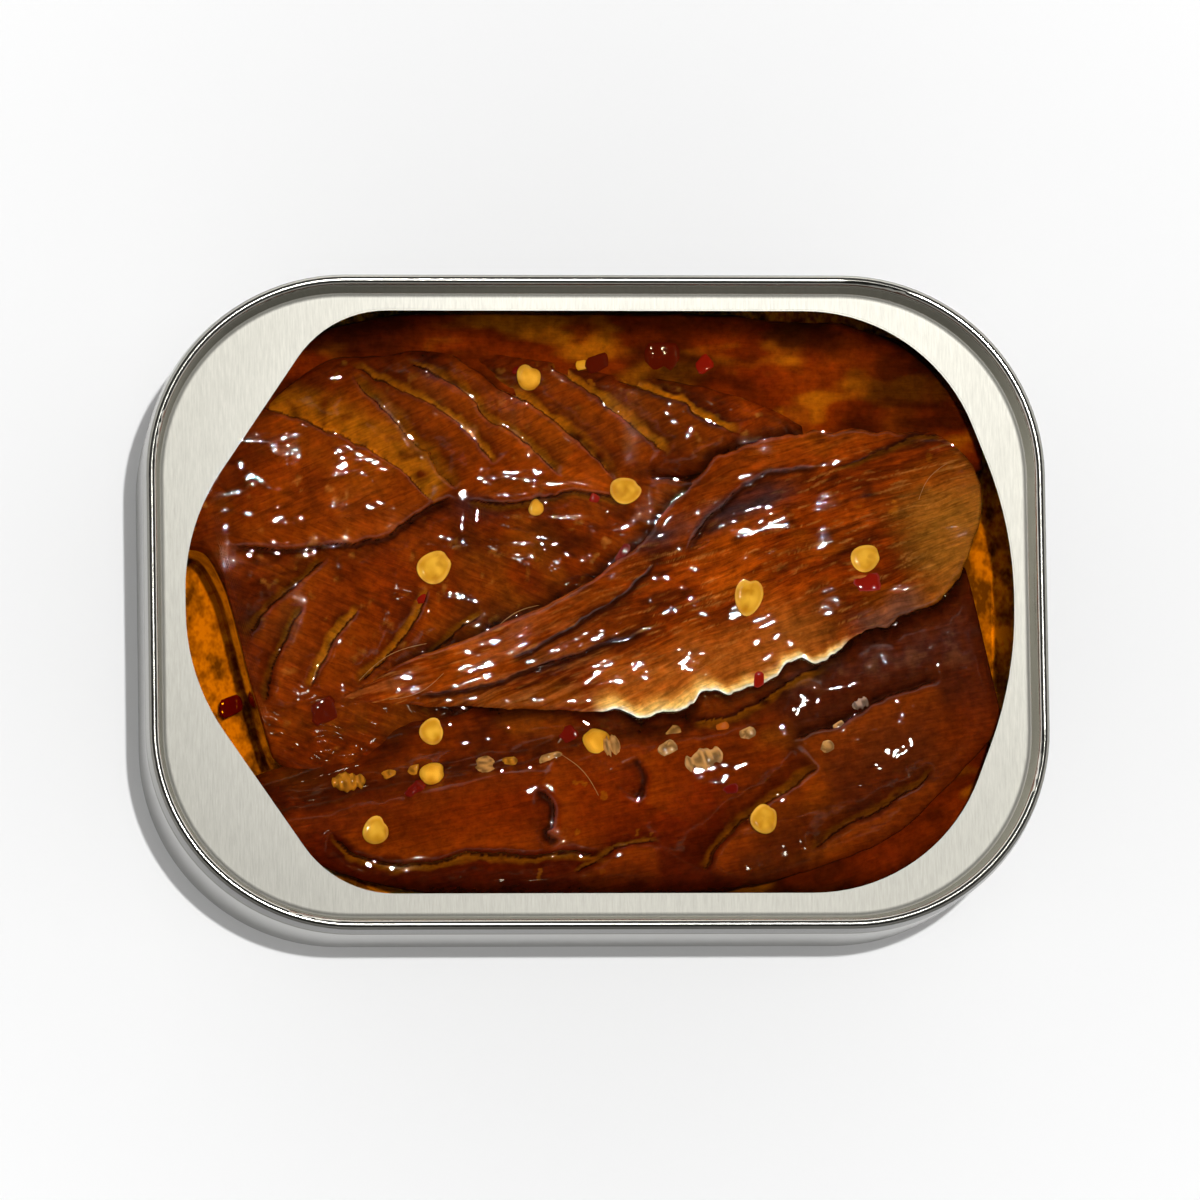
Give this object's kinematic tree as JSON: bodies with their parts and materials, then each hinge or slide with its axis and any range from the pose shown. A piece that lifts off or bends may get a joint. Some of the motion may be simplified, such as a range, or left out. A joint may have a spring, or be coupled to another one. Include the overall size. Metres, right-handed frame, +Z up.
{
  "type": "tin of smoked mackerel",
  "caption": "Opened rectangular fish tin with a double-seamed rim and a torn-out panel, holding smoked mackerel fillets in oil.",
  "frame": {"origin": "centre of the tin's plan, on the plane its foot stands on", "axes": "+X along the tin, +Y across it towards the back long side, +Z up out of the opening"},
  "size_m": [0.105, 0.0768, 0.022],
  "materials": {
    "tinplate_body": "bright tinplate, smooth",
    "tinplate_lid": "bright tinplate, finely brushed across the panel",
    "oil": "clear amber-brown oil, wet gloss",
    "flesh": "smoked fish flesh, oily gloss",
    "flesh_pale": "smoked fish flesh with pale torn fibres, oily gloss",
    "flesh_dark": "dark smoked fish flesh, oily gloss"
  },
  "bodies": {
    "root": {"can_body": "tinplate_body", "lid_ring": "tinplate_lid", "oil": "oil", "fillet_left": "flesh", "fillet_centre": "flesh_pale", "fillet_front": "flesh_dark", "lower_fillet_back": "flesh", "lower_fillet_front": "flesh"}
  },
  "joints": []
}
